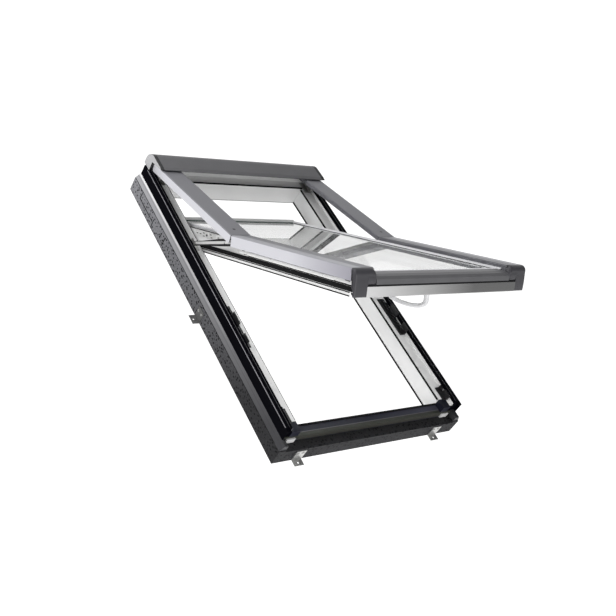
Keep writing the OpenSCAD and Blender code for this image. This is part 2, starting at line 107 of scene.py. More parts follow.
surround = bpy.data.worlds.new("surround")
surround.use_nodes = True
bpy.context.scene.world = surround
sky = surround.node_tree
sky_back = sky.nodes["Background"]
sky_back.inputs["Color"].default_value = (1, 1, 1, 1)
sky_way = sky.nodes.new("ShaderNodeTexCoord")
sky_dot = sky.nodes.new("ShaderNodeVectorMath")
sky_dot.operation = "DOT_PRODUCT"
sky_dot.inputs[1].default_value = bright_way
sky_path = sky.nodes.new("ShaderNodeLightPath")
sky_seen = sky.nodes.new("ShaderNodeMath")
sky_seen.operation = "MAXIMUM"
sky_level = sky.nodes.new("ShaderNodeMix")
sky_level.inputs["B"].default_value = seen_level
sky.links.new(sky_way.outputs["Generated"], sky_dot.inputs[0])
sky.links.new(sky_path.outputs["Is Camera Ray"], sky_seen.inputs[0])
sky.links.new(sky_path.outputs["Is Transmission Ray"], sky_seen.inputs[1])
sky.links.new(sky_seen.outputs[0], sky_level.inputs["Factor"])
sky.links.new(spread(sky, sky_dot.outputs["Value"], dim_from, full_from, dim_level,
                     full_level), sky_level.inputs["A"])
sky.links.new(sky_level.outputs["Result"], sky_back.inputs["Strength"])

soft_box("left_box", (-1.9, 0.3, 1.7), (-0.3, 0.4, 0.6), size=1.0, power=24)
soft_box("top_box", (-0.4, -0.4, 3.4), (0, 0.4, 0.4), size=2.2, power=44)
soft_box("low_box", (-0.9, -2.8, -0.35), (0, 0.5, 0.7), size=1.4, power=30)

# ---- White plastic: frame and sash profiles ----
# Hollow white window profiles, cut at 45 degrees and welded at the corners. The welds
# are cleaned off, so a faint line and a smooth satin skin are left.


def mixed(tree, factor, low, high):
    """A colour mix: low where the factor is 0 and high where it is 1. Each of the two is
    a colour or another node's output."""
    blend = tree.nodes.new("ShaderNodeMix")
    blend.data_type = "RGBA"
    tree.links.new(factor, blend.inputs["Factor"])
    for socket, colour in ((blend.inputs[6], low), (blend.inputs[7], high)):
        if isinstance(colour, tuple):
            socket.default_value = (*colour, 1)
        else:
            tree.links.new(colour, socket)
    return blend.outputs[2]


def new_group(name, takes, gives):
    """A shader node group with named sockets, each given as its name, its kind and its
    value if it has one. Returns the group, its input node and its output node."""
    group = bpy.data.node_groups.new(name, "ShaderNodeTree")
    for way, sockets in (("INPUT", takes), ("OUTPUT", gives)):
        for label, kind, *value in sockets:
            socket = group.interface.new_socket(name=label, in_out=way,
                                                socket_type="NodeSocket" + kind)
            if value:
                socket.default_value = value[0]
    return group, group.nodes.new("NodeGroupInput"), group.nodes.new("NodeGroupOutput")


# Mottle: a soft noise that runs between two colours and between two roughnesses.
mottle, mottle_in, mottle_out = new_group(
    "mottle",
    [("Place", "Vector"), ("Scale", "Float", 20.0), ("Low", "Color", (0.5, 0.5, 0.5, 1)),
     ("High", "Color", (0.6, 0.6, 0.6, 1)), ("Rough Low", "Float", 0.4),
     ("Rough High", "Float", 0.5)],
    [("Colour", "Color"), ("Roughness", "Float")])
mottle_noise = mottle.nodes.new("ShaderNodeTexNoise")
mottle_noise.inputs["Detail"].default_value = 5.0
mottle_rough = mottle.nodes.new("ShaderNodeMapRange")
mottle.links.new(mottle_in.outputs["Place"], mottle_noise.inputs["Vector"])
mottle.links.new(mottle_in.outputs["Scale"], mottle_noise.inputs["Scale"])
mottle.links.new(mottle_noise.outputs["Fac"], mottle_rough.inputs["Value"])
mottle.links.new(mottle_in.outputs["Rough Low"], mottle_rough.inputs["To Min"])
mottle.links.new(mottle_in.outputs["Rough High"], mottle_rough.inputs["To Max"])
mottle.links.new(mixed(mottle, mottle_noise.outputs["Fac"], mottle_in.outputs["Low"],
                       mottle_in.outputs["High"]), mottle_out.inputs["Colour"])
mottle.links.new(mottle_rough.outputs["Result"], mottle_out.inputs["Roughness"])

# Grain: a fine noise, drawn out along an axis whose stretch is small.
grain, grain_in, grain_out = new_group(
    "grain",
    [("Place", "Vector"), ("Scale", "Float", 600.0), ("Stretch", "Vector", (1, 1, 1))],
    [("Height", "Float")])
grain_fit = grain.nodes.new("ShaderNodeVectorMath")
grain_fit.operation = "MULTIPLY"
grain_noise = grain.nodes.new("ShaderNodeTexNoise")
grain_noise.inputs["Detail"].default_value = 3.0
grain.links.new(grain_in.outputs["Place"], grain_fit.inputs[0])
grain.links.new(grain_in.outputs["Stretch"], grain_fit.inputs[1])
grain.links.new(grain_fit.outputs["Vector"], grain_noise.inputs["Vector"])
grain.links.new(grain_in.outputs["Scale"], grain_noise.inputs["Scale"])
grain.links.new(grain_noise.outputs["Fac"], grain_out.inputs["Height"])


def place_group(tree, group, **values):
    """A group node fed by the object's own coordinates, with its values set by name."""
    node = tree.nodes.new("ShaderNodeGroup")
    node.node_tree = group
    tree.links.new(tree.nodes["place"].outputs["Object"], node.inputs["Place"])
    for name, value in values.items():
        node.inputs[name.replace("_", " ")].default_value = value
    return node


def finish_material(name, low, high, scale, rough, metallic=0.0, grain_scale=600.0,
                    stretch=(1, 1, 1), bump=0.1, depth=0.0002, gloss=0.5):
    """Colour mottled from low to high and roughness over its own two values, with a fine
    grain as bump, for one finish."""
    made, tree, shader = plain_material(name, low, rough[0], metallic, gloss)
    spots = place_group(tree, mottle, Scale=scale, Low=(*low, 1), High=(*high, 1),
                        Rough_Low=rough[0], Rough_High=rough[1])
    fine = place_group(tree, grain, Scale=grain_scale, Stretch=stretch)
    raised = tree.nodes.new("ShaderNodeBump")
    raised.inputs["Strength"].default_value = bump
    raised.inputs["Distance"].default_value = depth
    tree.links.new(fine.outputs["Height"], raised.inputs["Height"])
    tree.links.new(spots.outputs["Colour"], shader.inputs["Base Color"])
    tree.links.new(spots.outputs["Roughness"], shader.inputs["Roughness"])
    tree.links.new(raised.outputs["Normal"], shader.inputs["Normal"])
    return made


def paint(made, *nodes):
    """Gives the CAD nodes of these names one material."""
    for name in nodes:
        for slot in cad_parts[name].material_slots:
            slot.material = made


white_plastic = finish_material("white_plastic", (0.80, 0.80, 0.80), (0.86, 0.86, 0.855),
                                scale=9.0, rough=(0.24, 0.34), bump=0.06)
paint(white_plastic, "frame_head", "frame_sill", "frame_jamb_left", "frame_jamb_right",
      "sash_top_rail", "sash_bottom_rail", "sash_stile_left", "sash_stile_right",
      "handle_base", "top_rail_cover", "lock_rods")

# ---- Foam insulation ----
# Graphite foam beads fused in a steel mould. Small pits stay between the beads, painted
# near-black as shade in the hollows, and the upper parts are painted paler as painted light.
beads_per_metre, specks_per_metre = 86.0, 240.0
pit_walls, speck_walls, speck_depth = (0.24, 0.36), (0.25, 0.75), 0.62
shaded_below, lit_above = 0.16, 0.90
pit_shade = (0.004, 0.004, 0.005)
shaded_foam, lit_foam = (0.030, 0.030, 0.032), (0.28, 0.28, 0.30)


def run_mask(made, axis, low, high):
    """0 below low and 1 above high along one axis of the object's own coordinates."""
    tree = made.node_tree
    apart = tree.nodes.new("ShaderNodeSeparateXYZ")
    tree.links.new(tree.nodes["place"].outputs["Object"], apart.inputs[0])
    return spread(tree, apart.outputs[axis], low, high)


def multiplied(tree, product, *others):
    """The product of values or of masks. A product of masks is high only where all are."""
    for other in others:
        node = tree.nodes.new("ShaderNodeMath")
        node.operation = "MULTIPLY"
        tree.links.new(product, node.inputs[0])
        tree.links.new(other, node.inputs[1])
        product = node.outputs[0]
    return product


def bead_distance(made, scale, randomness):
    """The distance to the middle of the nearest cell of a pattern of scattered cells."""
    tree = made.node_tree
    cells = tree.nodes.new("ShaderNodeTexVoronoi")
    cells.inputs["Scale"].default_value = scale
    cells.inputs["Randomness"].default_value = randomness
    tree.links.new(tree.nodes["place"].outputs["Object"], cells.inputs["Vector"])
    return cells.outputs["Distance"]


bead_foam, foam_tree, foam_shader = plain_material("bead_foam", (0.05, 0.05, 0.053), 0.7,
                                                   gloss=0.12)
foam_skin = multiplied(
    foam_tree, spread(foam_tree, bead_distance(bead_foam, beads_per_metre, 0.75), *pit_walls),
    spread(foam_tree, bead_distance(bead_foam, specks_per_metre, 1.0), *speck_walls, 1.0,
           speck_depth))
# Painted light: the foam is painted paler higher up.
foam_painted_light = mixed(foam_tree, run_mask(bead_foam, "Z", shaded_below, lit_above), shaded_foam,
                  lit_foam)
foam_bump = foam_tree.nodes.new("ShaderNodeBump")
foam_bump.inputs["Strength"].default_value = 0.6
foam_bump.inputs["Distance"].default_value = 0.0012
foam_tree.links.new(foam_skin, foam_bump.inputs["Height"])
# Painted shade: the pits between the beads are painted near-black.
foam_tree.links.new(mixed(foam_tree, foam_skin, pit_shade, foam_painted_light),
                    foam_shader.inputs["Base Color"])
foam_tree.links.new(foam_bump.outputs["Normal"], foam_shader.inputs["Normal"])
paint(bead_foam, "insulation_head", "insulation_sill", "insulation_left", "insulation_right")

# ---- Collars and gaskets ----
# The collar is a smooth extruded strip that leads water off the frame's side, with fine
# drawn lines along it. It is painted paler higher up as painted light, and a painted
# highlight runs as a light stripe beside the jamb's cover, stronger towards the head.
# The gaskets are black rubber lips pushed into grooves.
lines_per_metre, line_walls, line_strength = 170.0, (0.50, 0.62), 0.55
collar_lit_from, collar_lit_full = 0.1, 0.9
highlight_end, highlight_full = 0.3738, 0.3730
highlight_from, highlight_strongest = 0.3, 1.2


def recolour(made, mask, colour):
    """Mixes one more colour over a material's base colour where the mask is high."""
    tree = made.node_tree
    base = tree.nodes["Principled BSDF"].inputs["Base Color"]
    tree.links.new(mixed(tree, mask, base.links[0].from_socket, colour), base)


collar_skin = finish_material(
    "collar_skin", (0.030, 0.030, 0.033), (0.055, 0.055, 0.06), scale=14.0, rough=(0.35, 0.5),
    grain_scale=900.0, bump=0.12, gloss=0.2)
# Painted light: the collar is painted paler higher up.
recolour(collar_skin, run_mask(collar_skin, "Z", collar_lit_from, collar_lit_full), (0.33, 0.33, 0.345))
collar_tree = collar_skin.node_tree
across_only = collar_tree.nodes.new("ShaderNodeVectorMath")
across_only.operation = "MULTIPLY"
across_only.inputs[1].default_value = (1.0, 0.0, 0.0)
drawn_lines = collar_tree.nodes.new("ShaderNodeTexNoise")
drawn_lines.inputs["Scale"].default_value = lines_per_metre
collar_tree.links.new(collar_tree.nodes["place"].outputs["Object"], across_only.inputs[0])
collar_tree.links.new(across_only.outputs["Vector"], drawn_lines.inputs["Vector"])
recolour(collar_skin, spread(collar_tree, drawn_lines.outputs["Fac"], *line_walls, 0.0,
                             line_strength), (0.025, 0.025, 0.028))
# Painted highlight: a pale stripe along each collar beside the jamb's cover, stronger higher
# up.
for side in (1, -1):
    recolour(collar_skin,
             multiplied(collar_tree,
                        run_mask(collar_skin, "X", side * highlight_end, side * highlight_full),
                        run_mask(collar_skin, "Z", highlight_from, highlight_strongest),
                        run_mask(collar_skin, "X", 0.0, side * 0.001)), (0.9, 0.9, 0.9))
paint(collar_skin, "collar_left", "collar_right")
rubber = finish_material("gasket_rubber", (0.003, 0.003, 0.004), (0.007, 0.007, 0.008),
                         scale=60.0, rough=(0.55, 0.7), grain_scale=1500.0, bump=0.15,
                         gloss=0.15)
paint(rubber, "ledge_seal", "room_seal", "glazing_seal", "sash_seals")

# ---- Black covers on the frame ----
# Roll-formed aluminium with a black coat, clipped over the profiles. The sill's cover is
# a dark blue-black, painted bluer and lighter towards its right end as a painted reflection,
# with a painted highlight as a light line along the fold, and a greenish front, between pale
# end plugs.
sill_reflection_span, fold_highlight, sill_front = (0.02, 0.40), (-0.0296, -0.0302), (-0.0308, -0.0314)
sheet_grain = dict(grain_scale=1200.0, bump=0.08)
black_coat = finish_material("black_coat", (0.001, 0.001, 0.002), (0.003, 0.003, 0.005),
                             scale=6.0, rough=(0.4, 0.55), gloss=0.01, **sheet_grain)
paint(black_coat, "jamb_cover_left", "jamb_cover_right")
sill_coat = finish_material("sill_coat", (0.008, 0.009, 0.018), (0.016, 0.017, 0.030),
                            scale=7.0, rough=(0.25, 0.4), gloss=0.3, **sheet_grain)
# Painted reflection: the sill's cover turns bluer and lighter towards its right end.
recolour(sill_coat, run_mask(sill_coat, "X", *sill_reflection_span), (0.060, 0.060, 0.088))
# Painted highlight: a light line along the fold of the sill's cover.
recolour(sill_coat, run_mask(sill_coat, "Y", *fold_highlight), (0.13, 0.13, 0.14))
recolour(sill_coat, run_mask(sill_coat, "Y", *sill_front), (0.034, 0.036, 0.029))
paint(sill_coat, "sill_cover")
plug_plastic = finish_material("plug_plastic", (0.6, 0.6, 0.6), (0.68, 0.68, 0.68), scale=40.0,
                               rough=(0.35, 0.45))
paint(plug_plastic, "sill_plugs")

# ---- Anthracite covers ----
# Aluminium sheet with a grey powder coat. The outer walls of the arms and of the sash
# are painted pale as a painted highlight, and darker towards the front as painted shade.
lit_wall, shaded_wall_front = (0.66, 0.66, 0.70), (0.30, 0.29, 0.34)
powder = dict(metallic=0.25, grain_scale=1600.0, bump=0.18)
highlight_band_inside, highlight_band_outside = 0.318, 0.324
gap_shade_inside, gap_shade_outside = 0.3505, 0.3512
wall_from, wall_full, front_fade = 0.24, 0.30, (-0.06, -0.37)


def painted_lit_walls(made, colour, fade=None, faded=None):
    """Paints a material's outer walls in one colour, a painted highlight: the faces whose
    normal points away from the middle along X, where normal X times place X is high. With a
    span given, the walls turn to a darker colour between those two places along Y, a painted
    shade."""
    tree = made.node_tree
    facing, far = (tree.nodes.new("ShaderNodeSeparateXYZ") for _ in range(2))
    tree.links.new(tree.nodes["place"].outputs["Normal"], facing.inputs[0])
    tree.links.new(tree.nodes["place"].outputs["Object"], far.inputs[0])
    walls = spread(tree, multiplied(tree, facing.outputs["X"], far.outputs["X"]), wall_from,
                   wall_full)
    recolour(made, walls, colour)
    if fade:
        recolour(made, multiplied(tree, walls, run_mask(made, "Y", *fade)), faded)


cover_coat = finish_material("cover_coat", (0.13, 0.13, 0.145), (0.165, 0.165, 0.18),
                             scale=26.0, rough=(0.38, 0.5), **powder)
# Painted highlight: the arm covers' outer walls are painted pale.
painted_lit_walls(cover_coat, lit_wall)
paint(cover_coat, "arm_cover_left", "arm_cover_right")
side_coat = finish_material("side_coat", (0.11, 0.11, 0.123), (0.15, 0.15, 0.165),
                            scale=26.0, rough=(0.36, 0.48), **powder)
# Painted highlight: a lighter band along the outer edge of each side cover's top.
for side in (1, -1):
    recolour(side_coat, run_mask(side_coat, "X", side * highlight_band_inside, side * highlight_band_outside),
             (0.30, 0.30, 0.325))
# Painted highlight and shade: the side covers' outer walls are painted pale, and darker
# towards the front.
painted_lit_walls(side_coat, lit_wall, fade=front_fade, faded=shaded_wall_front)
paint(side_coat, "side_cover_left", "side_cover_right")
plain_coat = finish_material("plain_coat", (0.085, 0.085, 0.09), (0.115, 0.115, 0.122),
                             scale=18.0, rough=(0.38, 0.5), **powder)
# Painted shade: a dark line at each end of the head's cover, in the gap by its cap.
for side in (1, -1):
    recolour(plain_coat,
             run_mask(plain_coat, "X", side * gap_shade_inside, side * gap_shade_outside),
             (0.008, 0.008, 0.009))
paint(plain_coat, "head_cover")
front_coat = finish_material("front_coat", (0.10, 0.10, 0.106), (0.135, 0.135, 0.142),
                             scale=18.0, rough=(0.38, 0.5), **powder)
paint(front_coat, "front_cover")

# ---- Dark plastic ends ----
# Moulded nylon caps and clips with a fine matt grain, pushed into the ends of the
# covers. The head's caps have nearly black tops, and their outer walls are painted pale as a
# painted highlight.
moulded = dict(scale=30.0, rough=(0.36, 0.46), grain_scale=1400.0, bump=0.2, gloss=0.35)
cap_plastic = finish_material("cap_plastic", (0.030, 0.029, 0.034), (0.05, 0.049, 0.056),
                              **moulded)
paint(cap_plastic, "head_clips")
head_cap = finish_material("head_cap", (0.012, 0.012, 0.013), (0.022, 0.022, 0.024), **moulded)
# Painted highlight: the head caps' outer walls are painted pale.
painted_lit_walls(head_cap, (0.42, 0.42, 0.43))
paint(head_cap, "head_cap_left", "head_cap_right")

# ---- Metal parts ----
# The front strip and the panes' spacer are natural aluminium. Brackets, arms, stays and
# pins are zinc-plated steel, and the lock rails and keepers are coated black.
strip_fade, stay_top_shade, stay_low_shade = (-0.38, 0.12), (0.6382, 0.6388), (0.6298, 0.6292)
bright_metal = finish_material("bright_metal", (0.66, 0.66, 0.66), (0.78, 0.78, 0.78),
                               scale=12.0, rough=(0.30, 0.40), metallic=0.85,
                               grain_scale=900.0, stretch=(0.03, 1, 1), bump=0.12)
# Painted reflection: the front strip is painted darker towards the right.
recolour(bright_metal, run_mask(bright_metal, "X", *strip_fade), (0.135, 0.135, 0.135))
paint(bright_metal, "front_strip")
spacer_metal = finish_material("spacer_metal", (0.55, 0.56, 0.56), (0.63, 0.64, 0.64),
                               scale=12.0, rough=(0.3, 0.4), metallic=0.6)
paint(spacer_metal, "pane_spacer")
zinc = finish_material("zinc", (0.34, 0.34, 0.33), (0.62, 0.62, 0.61), scale=90.0,
                       rough=(0.26, 0.42), metallic=0.8, grain_scale=800.0, bump=0.15)
paint(zinc, "hinge_bracket_left", "hinge_bracket_right", "hinge_pins", "stay_brackets",
      "bracket_screws", "roof_brackets_sill", "roof_brackets_head", "arm_bar_left",
      "arm_bar_right", "pivot_pins", "pivot_plates")
bracket_steel = finish_material("bracket_steel", (0.10, 0.10, 0.10), (0.20, 0.20, 0.20),
                                scale=90.0, rough=(0.3, 0.45), metallic=0.6,
                                grain_scale=800.0, bump=0.15)
paint(bracket_steel, "roof_bracket_left", "roof_bracket_right")
stay_steel = finish_material("stay_steel", (0.62, 0.62, 0.62), (0.78, 0.78, 0.77),
                             scale=60.0, rough=(0.3, 0.45), metallic=0.4,
                             grain_scale=800.0, bump=0.12)
# Painted shade: a dark band along the top and bottom edge of each stay.
for edge in (stay_top_shade, stay_low_shade):
    recolour(stay_steel, run_mask(stay_steel, "Z", *edge), (0.006, 0.006, 0.007))
paint(stay_steel, "stay_left", "stay_right")
lock_black = finish_material("lock_black", (0.008, 0.008, 0.009), (0.014, 0.014, 0.015),
                             scale=50.0, rough=(0.35, 0.5), grain_scale=1100.0, bump=0.2)
paint(lock_black, "lock_rail_left", "lock_rail_right", "keeper_left", "keeper_right")

# ---- Glass ----
# Two clear float panes, sealed to a spacer with a gap between them. They are bedded in
# the sash from outside, under the covers.
clear_pane, _, pane_shader = plain_material("clear_pane", (0.995, 1.0, 0.998), 0.0)
pane_shader.inputs["Transmission Weight"].default_value = 1.0
pane_shader.inputs["IOR"].default_value = 1.46
paint(clear_pane, "outer_pane", "inner_pane")

# ---- Front end caps ----
# Moulded nylon caps that close the ends of the side covers and of the front cover. Their
# top rolls over to the front in one round, and their ends are softly rounded.
seat_up, seat_out = 578.0, 98.0
hinge_line, arms_open = (533.3, 33.6), 16.5
pivot_line, sash_open = (16.8, 33.6), 19.25
both_sides = ((-1, "left"), (1, "right"))
cap_inner, cap_step, cap_outer = 275.8, 308.0, 353.5
cap_top, cap_roll, cap_corner, cap_edge = 58.4, 17.0, 6.0, 4.0
cap_front, cap_bow, cap_full = -574.9, 1.2, 0.3
foot_inner, foot_outer = 14.2, -20.0
rail_front, rail_step, rail_top = -568.0, -560.2, -556.8
rail_low, rail_mid, rail_high = -4.0, 8.0, 36.4


def on_roof(points):
    """Metres in the part's frame from millimetres across, up the slope and outward.
    The slope is turned 45 degrees about X, with the origin on the sill's room side."""
    points = np.asarray(points, float)
    up, out = points[..., 1] + seat_up, points[..., 2] + seat_out
    return np.stack([points[..., 0], (up - out) / math.sqrt(2), (up + out) / math.sqrt(2)],
                    -1) / 1000.0


def opened(points, line, degrees):
    """Turns roof points about a line across the roof, so that the low side lifts."""
    points = np.asarray(points, float)
    c, s = math.cos(math.radians(degrees)), math.sin(math.radians(degrees))
    y, z = points[..., 1] - line[0], points[..., 2] - line[1]
    return np.stack([points[..., 0], line[0] + y * c + z * s, line[1] - y * s + z * c], -1)


def on_sash(points):
    """Where points of the shut sash stand with the window open: turned about the sash
    pivot, and then with the arms about their hinge."""
    return on_roof(opened(opened(points, pivot_line, sash_open), hinge_line, arms_open))


def skin(name, rows, material, body, crease=30.0):
    """A closed skin over a grid of points: each row is a ring, and neighbouring rows are
    joined by quads. The ends are closed, and the faces are turned outward by the sign of
    the volume, the sum of one sixth of each corner's triple product."""
    count, ring = rows.shape[:2]
    i, j = np.meshgrid(np.arange(count - 1), np.arange(ring), indexing="ij")
    k = (j + 1) % ring
    quads = np.stack([i * ring + j, i * ring + k, (i + 1) * ring + k, (i + 1) * ring + j],
                     -1).reshape(-1, 4)
    flat = rows.reshape(-1, 3)
    p = flat - flat.mean(0)
    a, b, c, d = (p[quads[:, corner]] for corner in range(4))
    volume = np.einsum("ij,ij->", a, np.cross(b, c) + np.cross(c, d)) / 6.0
    first, last = list(range(ring))[::-1], list(range((count - 1) * ring, count * ring))
    faces = quads.tolist() + [first, last]
    if volume < 0:
        faces = [face[::-1] for face in faces]
    mesh = bpy.data.meshes.new(name)
    mesh.from_pydata(flat.tolist(), [], faces)
    mesh.shade_smooth()
    mesh.set_sharp_from_angle(angle=math.radians(crease))
    mesh.materials.append(material)
    piece = bpy.data.objects.new(name, mesh)
    bpy.context.collection.objects.link(piece)
    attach(piece, body)
    return piece


def rounding(t, radius):
    """How far a corner of this radius falls back at distance t from its end."""
    t = np.clip(t, 0.0, radius)
    return radius - np.sqrt(np.maximum(radius ** 2 - (radius - t) ** 2, 0.0))


def cap_rows(x):
    """Rings in y and z for each x: a quarter circle from the top to the front, a front
    that bows out as a parabola, a small quarter circle at the foot, and a stepped back
    that fits over the rail. The foot is low only outside the step, and the front stays
    before the rail, even in the rounded corners."""
    inner, outer = x - cap_inner, cap_outer - x
    top = cap_top - rounding(inner, cap_roll) - rounding(outer, cap_edge)
    front = cap_front + rounding(inner, cap_corner) + rounding(outer, cap_corner)
    foot = np.where(x < cap_step, foot_inner, foot_outer + rounding(outer, cap_edge))
    furthest = rail_front - 0.2
    roll = np.linspace(0, math.pi / 2, 12)
    top_y = front[:, None] + cap_roll * (1 - np.sin(roll))
    top_z = top[:, None] - cap_roll * (1 - np.cos(roll))
    down = np.linspace(0, 1, 10)[1:-1]
    face_y = np.minimum(front[:, None] + cap_bow * (2 * down - 1) ** 2 - cap_full, furthest)
    face_z = (top - cap_roll)[:, None] * (1 - down) + (foot + cap_edge)[:, None] * down
    turn = np.linspace(0, math.pi / 2, 6)
    foot_y = np.minimum(front[:, None] + cap_edge * (1 - np.cos(turn)) + cap_bow - cap_full,
                        furthest)
    foot_z = foot[:, None] + cap_edge * (1 - np.sin(turn))
    back_y = np.broadcast_to([rail_front, rail_front, rail_step, rail_step, rail_top],
                             (len(x), 5))
    back_z = np.stack([foot, np.maximum(foot, rail_low), np.maximum(foot, rail_mid),
                       np.full_like(x, rail_high), np.full_like(x, rail_high)], -1)
    end_y, end_z = np.full((len(x), 1), rail_top), top[:, None]
    y = np.concatenate([top_y, face_y, foot_y, back_y, end_y], 1)
    z = np.concatenate([top_z, face_z, foot_z, back_z, end_z], 1)
    return np.stack([np.broadcast_to(x[:, None], y.shape), y, z], -1)


cap_x = np.concatenate([cap_inner + cap_roll * (1 - np.cos(np.linspace(0, math.pi / 2, 11))),
                        [300.0, cap_step - 0.1, cap_step, 326.0, 340.0],
                        cap_outer - cap_corner * (1 - np.cos(np.linspace(math.pi / 2, 0, 8)))])
for side, label in both_sides:
    cap = skin("front_cap_round_" + label, on_sash(cap_rows(cap_x) * (side, 1, 1)),
               cap_plastic, "sash", crease=38.0)
    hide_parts("front_cap_" + label)

# ---- Strips round the pane ----
# Pale soft strips seal the side covers and the front cover to the outer pane, whose cut
# top edge shows green. A black seal fills the joint above the bright front strip.
strip_profile = [(275.6, 40.8), (264.0, 40.8), (263.4, 41.6), (264.0, 42.4), (275.6, 47.0)]
front_profile = [(-523.2, 40.8), (-522.8, 43.8), (-531.0, 43.9), (-532.4, 42.6)]
edge_profile = [(491.5, 40.7), (491.5, 42.4), (495.4, 42.8), (495.4, 40.7)]
strip_ends, line_ends = (-540.0, 500.0), (-538.0, 490.0)
front_ends, edge_ends, seal_ends = (-275.0, 275.0), (-262.0, 262.0), (-307.5, 307.5)


def oblong(a0, a1, b0, b1):
    """The four corners of a rectangular section."""
    return [(a0, b0), (a1, b0), (a1, b1), (a0, b1)]


def bar(name, section, x0, x1, place, material, body, finish_slot):
    """A straight piece: a section in y and z carried across from x0 to x1."""
    section = np.asarray(section, float)
    x = np.array([x0, x1], float)[:, None, None]
    rows = np.concatenate([np.broadcast_to(x, (2, len(section), 1)),
                           np.broadcast_to(section, (2, len(section), 2))], -1)
    return skin(name, place(rows), material, body)


def rail(name, section, y0, y1, place, material, body, finish_slot, side, crease=30.0):
    """A straight piece: a section in x and z carried up the slope from y0 to y1, on the
    right where side is 1 and mirrored to the left where it is -1."""
    section = np.asarray(section, float)
    y = np.broadcast_to(np.array([y0, y1], float)[:, None, None], (2, len(section), 1))
    x = np.broadcast_to(side * section[None, :, :1], (2, len(section), 1))
    z = np.broadcast_to(section[None, :, 1:], (2, len(section), 1))
    return skin(name, place(np.concatenate([x, y, z], -1)), material, body,
                crease=crease)


strip_white = finish_material("strip_white", (0.66, 0.66, 0.68), (0.74, 0.74, 0.76),
                              scale=20.0, rough=(0.3, 0.4), bump=0.05)
for side, label in both_sides:
    rail("pane_strip_" + label, strip_profile, *strip_ends, on_sash, strip_white, "sash",
         "white_plastic", side)
    rail("pane_line_" + label, oblong(263.0, 262.2, 40.7, 41.9), *line_ends, on_sash,
         rubber, "sash", "black_rubber", side)
bar("front_glazing_strip", front_profile, *front_ends, on_sash, strip_white, "sash",
    "white_plastic")
pane_green = finish_material("pane_green", (0.020, 0.055, 0.043), (0.035, 0.085, 0.068),
                             scale=40.0, rough=(0.1, 0.2))
bar("pane_edge_top", edge_profile, *edge_ends, on_sash, pane_green, "sash", "glass")
bar("front_joint_seal", oblong(-573.6, -560.2, 9.2, 14.0), *seal_ends, on_sash, rubber,
    "sash", "black_rubber")

# ---- Friction discs ----
# Pressed steel discs on a plate, screwed to the stiles beside the stays. Slots round a
# black nut let them grip, so that the sash stays where it is put.
disc_middle = (226.0, 26.0)
slot_places = ((200, 22), (206, 31), (247, 21), (249, 31), (268, 26), (288, 26))
slot_half_length, slot_half_width = 5.0, 1.3
screw_places, screw_height = (86.0, 124.0, 160.0), 26.0


def ring_rows(centre, across, radii, count=28, lobes=0, depth=0.0):
    """Rings about a line along x: at each across value a circle of the given radius,
    whose edge is scalloped by depth times the cosine of lobes times the angle."""
    angle = np.linspace(0, 2 * math.pi, count, endpoint=False)
    r = np.asarray(radii, float)[:, None] + depth * np.cos(lobes * angle)[None, :]
    x = np.broadcast_to(np.asarray(across, float)[:, None], r.shape)
    return np.stack([x, centre[0] + r * np.cos(angle), centre[1] + r * np.sin(angle)], -1)


def plate_rows(y0, y1, z0, z1, x0, x1, corner):
    """A flat plate with round corners: four quarter circles joined by straight sides."""
    turn = np.linspace(0, math.pi / 2, 6)
    quarter = np.concatenate([turn + k * math.pi / 2 for k in range(4)])
    mid_y = np.repeat([y1 - corner, y0 + corner, y0 + corner, y1 - corner], 6)
    mid_z = np.repeat([z1 - corner, z1 - corner, z0 + corner, z0 + corner], 6)
    y, z = mid_y + corner * np.cos(quarter), mid_z + corner * np.sin(quarter)
    return np.stack([np.stack([np.full_like(y, x), y, z], -1) for x in (x0, x1)])


disc_steel = finish_material("disc_steel", (0.72, 0.72, 0.71), (0.84, 0.84, 0.83),
                             scale=90.0, rough=(0.3, 0.42), metallic=0.3, grain_scale=800.0,
                             bump=0.15)
disc_plate = plate_rows(176, 302, 17, 35.8, 300.1, 301.6, corner=5)
disc = ring_rows(disc_middle, across=[301.4, 303.6, 304.4, 304.4, 302.8],
                 radii=[9.4, 9.4, 8.6, 5.0, 4.0], count=48, lobes=8, depth=0.6)
nut = ring_rows(disc_middle, across=[302.6, 305.2, 305.8], radii=[3.6, 3.6, 2.8], count=6)
for side, label in both_sides:
    mirror = (side, 1, 1)
    skin("disc_plate_" + label, on_sash(disc_plate * mirror), disc_steel, "sash")
    skin("friction_disc_" + label, on_sash(disc * mirror), disc_steel, "sash")
    skin("friction_nut_" + label, on_sash(nut * mirror), lock_black, "sash")
    # The slots are black plates laid on the disc: painted shade in the openings.
    for k, (y, z) in enumerate(slot_places):
        slot = plate_rows(y - slot_half_length, y + slot_half_length, z - slot_half_width,
                          z + slot_half_width, 301.5, 302.1, corner=1.2)
        skin("disc_slot_shade_%s_%d" % (label, k), on_sash(slot * mirror), lock_black, "sash")
    for k, y in enumerate(screw_places):
        head = ring_rows((y, screw_height), across=[300.2, 302.2, 302.9, 302.9],
                         radii=[4.0, 4.0, 3.0, 0.6], count=20)
        skin("stile_screw_%s_%d" % (label, k), on_sash(head * mirror), zinc, "sash")

